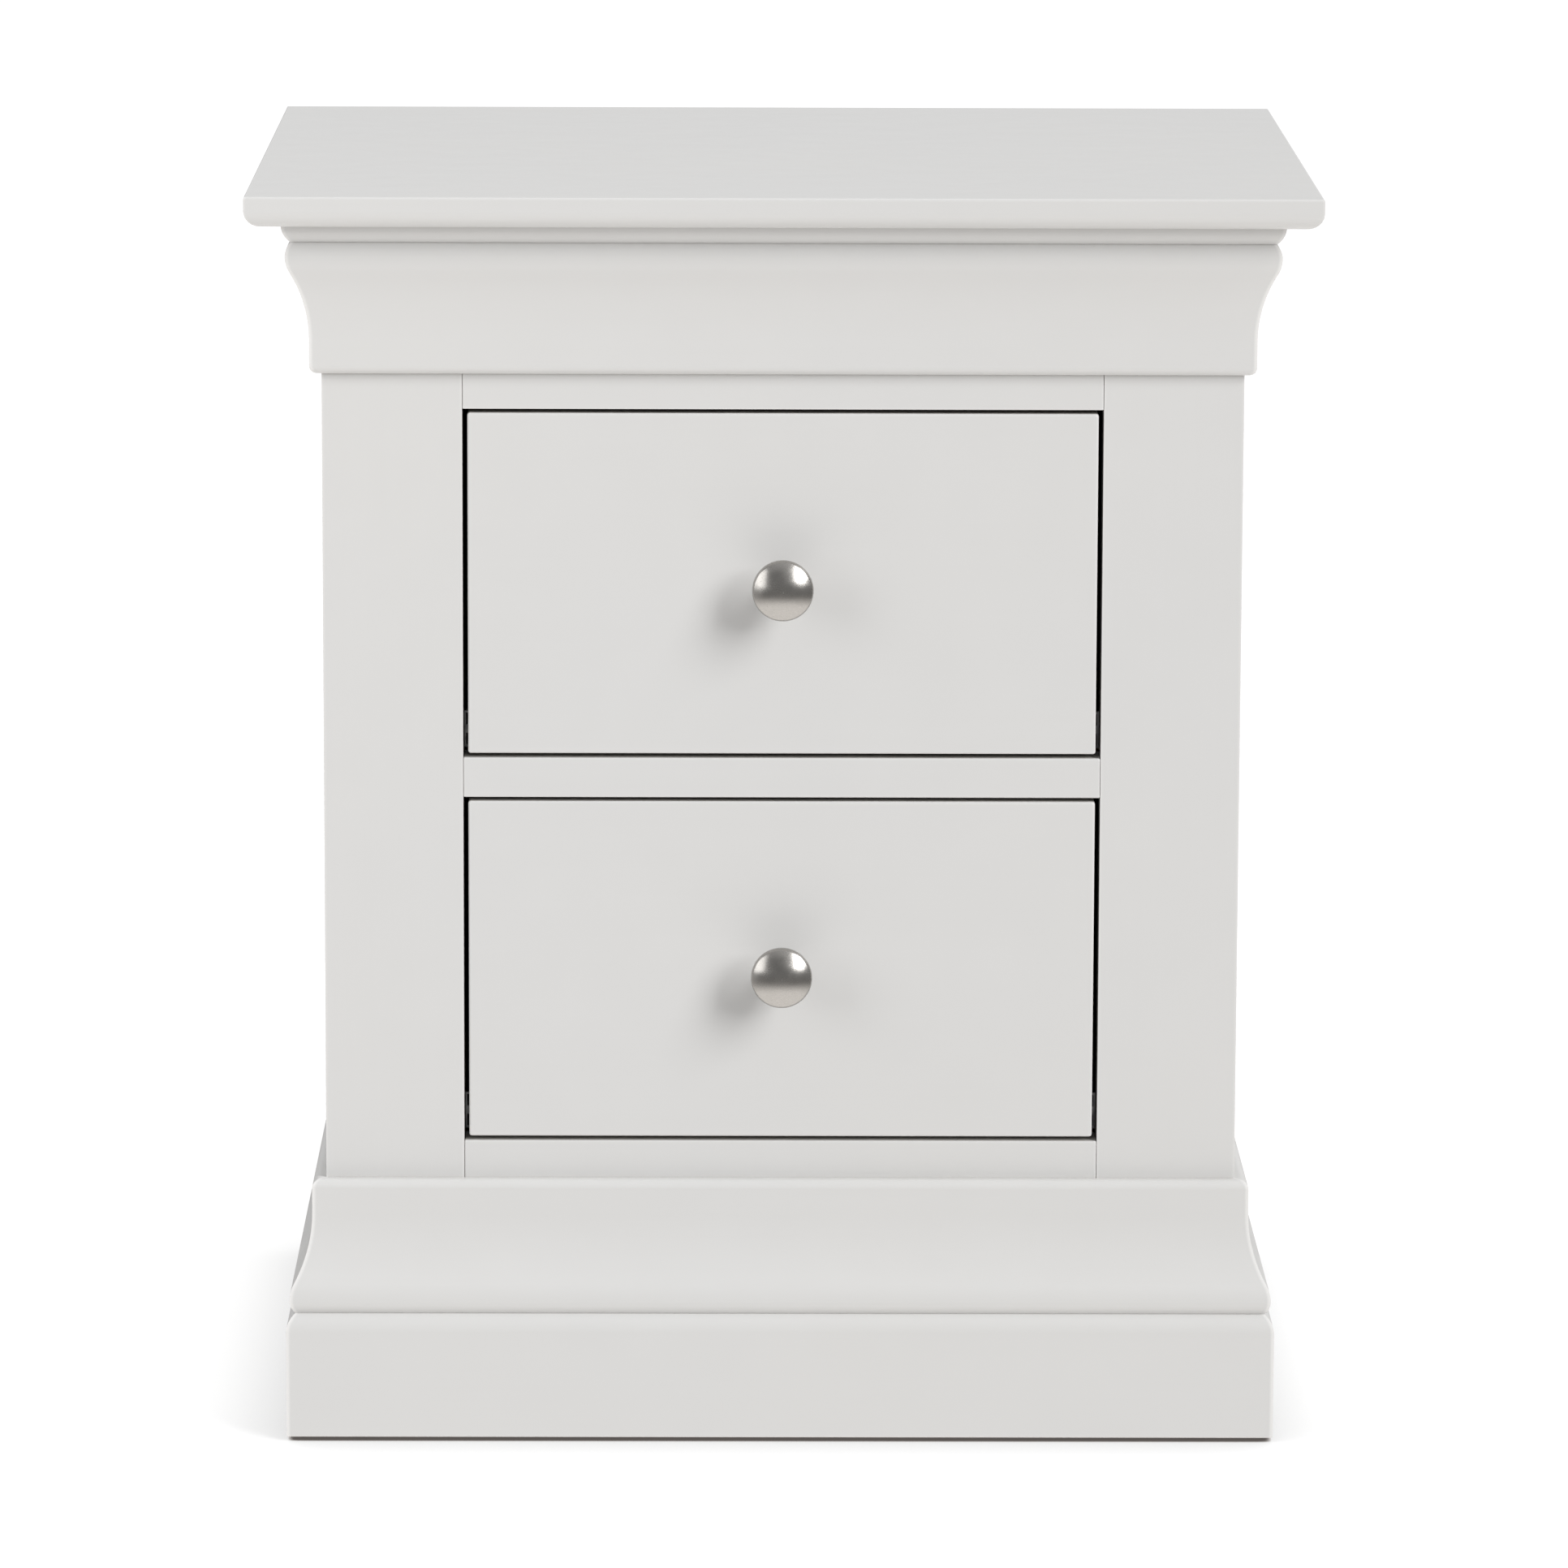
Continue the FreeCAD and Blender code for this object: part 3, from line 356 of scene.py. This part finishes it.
def bare_wood(surface, tones, ring_pitch, figure, contrast, sheen):
    """Planed wood: growth lines that wander along the grain, fibres, pores and a soft glow."""
    pale, dark = tones
    drift = surface.noise(surface.lengthwise(long=2.2, short=9), offset=(0.37, 1.9, 0.71), detail=2.0)
    parts = zip(surface.split(surface.place), AXES)
    sideways, up = (part for part, axis in parts if axis != surface.grain)
    slope = surface.math("ADD", surface.math("MULTIPLY", sideways, 1/ring_pitch),
                         surface.math("MULTIPLY", up, RING_LEAN/ring_pitch))
    rings = surface.math("FRACT", surface.math("ADD", slope, surface.math("MULTIPLY", drift, figure)))
    strength = surface.noise(surface.lengthwise(long=3, short=45), offset=(2.3, 0.6, 1.1), detail=2.0)
    late = surface.math("MULTIPLY", surface.fade(rings, contrast, band=(0.15, 0.95)),
                        surface.spread(strength, 0.15, 1.0, 0.35, 0.70))
    tone = surface.mix(late, pale, dark)
    fibres = surface.noise(surface.lengthwise(long=12, short=700), detail=4.0, roughness=0.65)
    tone = surface.mix(surface.fade(fibres, amount=0.45, band=(0.42, 0.72)), tone, dark)
    blotch = surface.noise(surface.lengthwise(long=1.5, short=7), detail=2.0)
    tone = surface.mix(surface.fade(blotch, amount=0.30, band=(0.4, 0.7)), tone, pale)
    pores = surface.noise(surface.lengthwise(long=60, short=1500), offset=(3.1, 0.2, 1.7), detail=1.0)
    pore_tone = tuple(PORE_SHADE*part for part in dark)
    tone = surface.mix(surface.fade(pores, amount=0.5, band=(0.66, 0.74)), tone, pore_tone)
    surface.relief(fibres, 45*MICRON)
    surface.relief(late, 30*MICRON)
    return surface.finish(Base_Color=tone, Specular_IOR_Level=0.35,
                          Roughness=surface.spread(fibres, sheen, sheen + FIBRE_ROUGHER, *MOST))


def beech(surface):
    """The drawer boxes: pale lacquered beech."""
    return bare_wood(surface, BEECH, ring_pitch=9*MM, figure=4.2, contrast=0.42, sheen=0.34)


def pine(surface):
    """Rails, blocks and packers that don't show: plain sawn pine."""
    return bare_wood(surface, PINE, ring_pitch=8*MM, figure=3.0, contrast=0.60, sheen=0.55)


def plywood(surface):
    """Birch plywood: a figured face, and edges that show the glued plies."""
    pale, dark = BIRCH
    drift = surface.noise(surface.lengthwise(long=3, short=11), offset=(0.9, 0.2, 0.4))
    figure = surface.math("FRACT", surface.math("MULTIPLY", drift, PLY_FIGURE))
    fibres = surface.noise(surface.lengthwise(long=16, short=520), detail=4.0, roughness=0.6)
    face = surface.mix(surface.fade(figure, amount=0.34, band=(0.1, 1.0)), pale, dark)
    face = surface.mix(surface.fade(fibres, amount=0.5, band=(0.4, 0.7)), face, dark)
    thin = AXES.index(surface.thin)
    depth = surface.math("MULTIPLY", surface.split(surface.place)[thin], 1/PLY_PAIR)
    plies = surface.math("GREATER_THAN", surface.math("FRACT", depth), 0.5)
    edge = surface.mix(plies, *PLY_EDGE)
    facing = surface.split(surface.add("ShaderNodeTexCoord").outputs["Normal"])[thin]
    on_face = surface.math("GREATER_THAN", surface.math("ABSOLUTE", facing), FACE_TURN)
    surface.relief(fibres, 40*MICRON)
    return surface.finish(Base_Color=surface.mix(on_face, edge, face), Specular_IOR_Level=0.3,
                          Roughness=surface.spread(fibres, 0.5, 0.68, *MOST))


# ---------------------------------------------------------------- metals
# The two tones that each metal varies between.
NICKEL = ((0.43, 0.415, 0.395), (0.33, 0.318, 0.30))
ZINC = ((0.60, 0.61, 0.62), (0.44, 0.455, 0.475))
BALL = ((0.72, 0.72, 0.73), (0.50, 0.46, 0.40))
SCREW = ((0.62, 0.58, 0.46), (0.50, 0.46, 0.40))
GLIDE = ((0.52, 0.51, 0.50), (0.30, 0.29, 0.28))
GREASE = (0.30, 0.26, 0.20)


def satin_nickel(surface):
    """Plated knobs, buffed in one direction: soft reflections with fine hair lines."""
    hair = surface.noise((900, 900, 3600), detail=3.0, roughness=0.7)
    cloud = surface.noise(even(160), detail=2.0)
    tone = surface.mix(surface.fade(hair, amount=0.45, band=(0.35, 0.65)), *NICKEL)
    rough = surface.math("ADD", surface.spread(cloud, 0.20, 0.26, *MOST),
                         surface.fade(hair, 0.06, MOST))
    surface.relief(hair, 4*MICRON)
    return surface.finish(Base_Color=tone, Metallic=1.0, Roughness=rough, Anisotropic=0.25)


def zinc_plate(surface):
    """Rolled and plated steel: a patchy spangle, rolling lines and a thin smear of grease."""
    crystals = surface.add("ShaderNodeTexVoronoi", Vector=surface.stretched(even(260)), Scale=1.0)
    patch = surface.add("ShaderNodeSeparateColor", Color=crystals.outputs["Color"]).outputs[0]
    lines = surface.noise(surface.lengthwise(long=14, short=1200), detail=3.0, roughness=0.7)
    tone = surface.mix(surface.spread(patch, 0.0, 0.5), *ZINC)
    smear = surface.noise(surface.lengthwise(long=10, short=60), detail=2.0)
    tone = surface.mix(surface.fade(smear, amount=0.4, band=(0.5, 0.75)), tone, GREASE)
    rough = surface.math("ADD", surface.spread(patch, 0.24, 0.36), surface.fade(lines, 0.10, MOST))
    surface.relief(lines, 8*MICRON)
    return surface.finish(Base_Color=tone, Metallic=1.0, Roughness=rough)


def bearing_steel(surface):
    """Polished balls with a film of oil."""
    film = surface.noise(even(900), detail=2.0)
    tone = surface.mix(surface.fade(film, amount=0.4, band=(0.4, 0.7)), *BALL)
    surface.relief(film, 2*MICRON)
    return surface.finish(Base_Color=tone, Metallic=1.0,
                          Roughness=surface.spread(film, 0.05, 0.16, 0.35, 0.65))


def screw_plate(surface):
    """Screws with a yellowish passivated plate."""
    patch = surface.noise(even(500))
    tone = surface.mix(surface.fade(patch, amount=1.0, band=(0.35, 0.65)), *SCREW)
    surface.relief(patch, 10*MICRON)
    return surface.finish(Base_Color=tone, Metallic=1.0,
                          Roughness=surface.spread(patch, 0.26, 0.44, *MOST))


def glide_plate(surface):
    """Pressed glides, scuffed by the floor."""
    scuffs = surface.noise((60, 900, 900), detail=4.0, roughness=0.7)
    tone = surface.mix(surface.fade(scuffs, amount=0.7, band=(0.4, 0.7)), *GLIDE)
    surface.relief(scuffs, 15*MICRON)
    return surface.finish(Base_Color=tone, Metallic=1.0,
                          Roughness=surface.spread(scuffs, 0.22, 0.5, *MOST))


# ---------------------------------------------------------------- finishing the model's own nodes
FINISHES = {
    "paint": painted_wood,
    "plywood": plywood,
    "pine": pine,
    "box_wood": beech,
    "satin_nickel": satin_nickel,
    "zinc_steel": zinc_plate,
    "ball_steel": bearing_steel,
    "screw_steel": screw_plate,
    "glide_steel": glide_plate,
}

# Nodes that hold several loose pieces: the axis of the pieces' grain, and the one they are
# thinnest along.
GROUP_GRAIN = {"corner_blocks": ("z", "x"), "slide_packers": ("y", "z")}

# How far edges are eased: by finish, and for some pieces by name.
EASED = {
    "paint": 0.4*MM,
    "plywood": 0.2*MM,
    "pine": 0.6*MM,
    "box_wood": 0.6*MM,
    "zinc_steel": 0.15*MM,
}
EASED_BY_NAME = {
    "stile_left": 0.7*MM,
    "stile_right": 0.7*MM,
    "rail_top": 0.7*MM,
    "rail_middle": 0.7*MM,
    "rail_bottom": 0.7*MM,
    "top_panel": 0.8*MM,
    "upper_drawer_front": 1.0*MM,
    "lower_drawer_front": 1.0*MM,
}
EASE_SEGMENTS = 2
EASE_ANGLE = math.radians(32)
WELD_REACH = 5*MICRON
FACE_WEIGHT = 80


def directions(name):
    """The axis a node's grain follows, its longest, and the axis it is thinnest along."""
    if name in GROUP_GRAIN:
        return GROUP_GRAIN[name]
    low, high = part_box(name)
    sizes = sorted(zip(high - low, AXES))
    return sizes[2][1], sizes[0][1]


def ease_edges(node, width):
    """Join the faces up and take the sharpness off every edge, as sanding does."""
    weld = node.modifiers.new("weld", "WELD")
    weld.merge_threshold = WELD_REACH
    ease = node.modifiers.new("ease", "BEVEL")
    ease.width = width
    ease.segments = EASE_SEGMENTS
    ease.limit_method = "ANGLE"
    ease.angle_limit = EASE_ANGLE
    ease.use_clamp_overlap = True
    even_out = node.modifiers.new("even", "WEIGHTED_NORMAL")
    even_out.keep_sharp = False
    even_out.weight = FACE_WEIGHT


def finish_nodes():
    """Give every node the finish of its slot, with the grain along its length."""
    slots = {part["node"]: part["material_slot"] for part in frame["record"]["subparts"]}
    made = {}
    for name, node in sorted(frame["nodes"].items()):
        slot = slots[name]
        grain, thin = directions(name)
        title = f"{slot}_along_{grain}_thin_{thin}"
        if title not in made:
            made[title] = FINISHES[slot](Surface(title, grain, thin))
        for place in node.material_slots:
            place.material = made[title]
        width = EASED_BY_NAME.get(name, EASED.get(slot))
        if width is not None:
            ease_edges(node, width)


make_camera()
make_stage()
make_world()
make_lights()
bpy.context.scene.view_settings.view_transform = "Standard"
finish_nodes()
